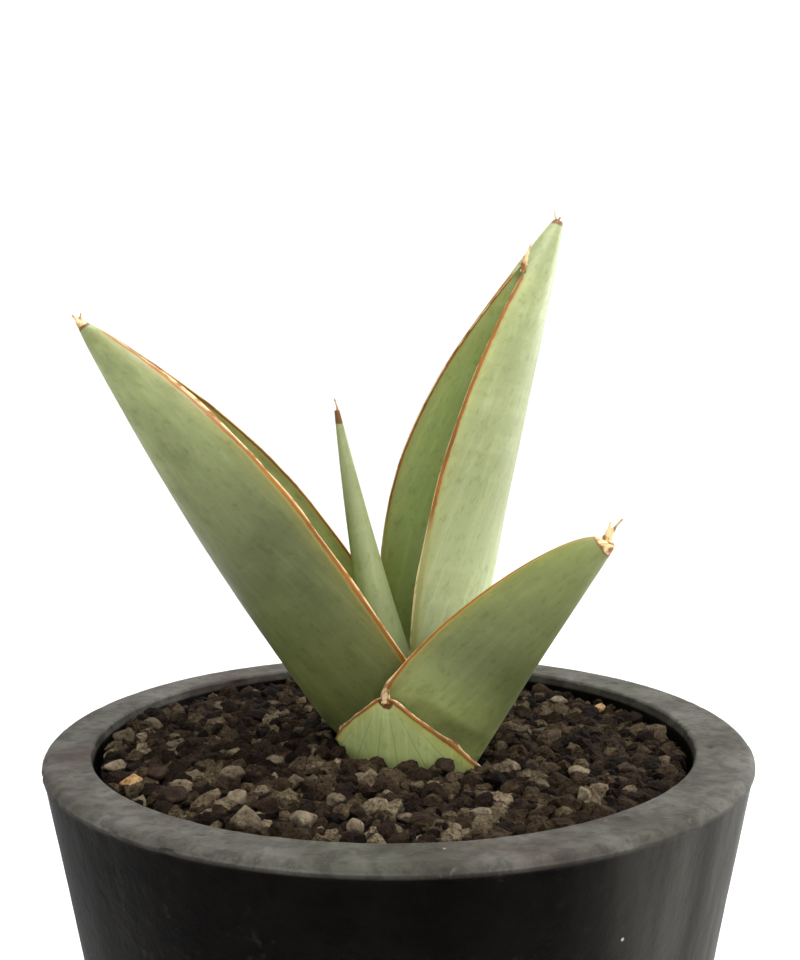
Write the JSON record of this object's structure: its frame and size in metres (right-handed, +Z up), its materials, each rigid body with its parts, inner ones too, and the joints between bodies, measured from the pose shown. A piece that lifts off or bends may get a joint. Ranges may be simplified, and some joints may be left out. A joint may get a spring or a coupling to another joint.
{
  "type": "potted snake plant",
  "caption": "Young snake plant with thick boat-shaped, brown-edged leaves clasping one another in a gritty mix, in a tapered matt charcoal pot with a broad flat rim.",
  "frame": {"origin": "centre of the pot's underside, on the surface it stands on", "axes": "+Z up, +X to the right and +Y away as the plant is seen from its front, where the short outer leaf is"},
  "size_m": [0.13, 0.13, 0.2153],
  "materials": {
    "pot": "matt cast charcoal, chalky on the rim, with small pits and scuffs",
    "potting_mix": "dry volcanic grit and bark fines, fully rough",
    "rhizome": "dull, fibrous",
    "leaf": "waxy bloom, satin, with an orange-brown horny margin",
    "leaf_pale": "waxy bloom, satin, young yellow-green growth",
    "stone_grey_brown": "rough broken pumice",
    "stone_dark": "rough dark scoria",
    "stone_ochre": "rough baked clay",
    "stone_tan": "rough tan grit"
  },
  "bodies": {
    "root": {"pot": "pot", "potting_mix": "potting_mix", "rhizome": "rhizome", "leaf_front": "leaf_pale", "leaf_right": "leaf", "leaf_left": "leaf", "leaf_back": "leaf", "leaf_spike": "leaf_pale", "stone_01": "stone_tan", "stone_02": "stone_tan", "stone_03": "stone_ochre", "stone_04": "stone_tan", "stone_05": "stone_grey_brown", "stone_06": "stone_dark", "stone_07": "stone_grey_brown", "stone_08": "stone_dark", "stone_09": "stone_grey_brown", "stone_10": "stone_grey_brown", "stone_11": "stone_grey_brown", "stone_12": "stone_tan", "stone_13": "stone_tan", "stone_14": "stone_grey_brown", "stone_15": "stone_tan", "stone_16": "stone_tan", "stone_17": "stone_tan", "stone_18": "stone_tan", "stone_19": "stone_dark", "stone_20": "stone_tan", "stone_21": "stone_ochre", "stone_22": "stone_grey_brown", "stone_23": "stone_grey_brown", "stone_24": "stone_grey_brown", "stone_25": "stone_dark"}
  },
  "joints": []
}
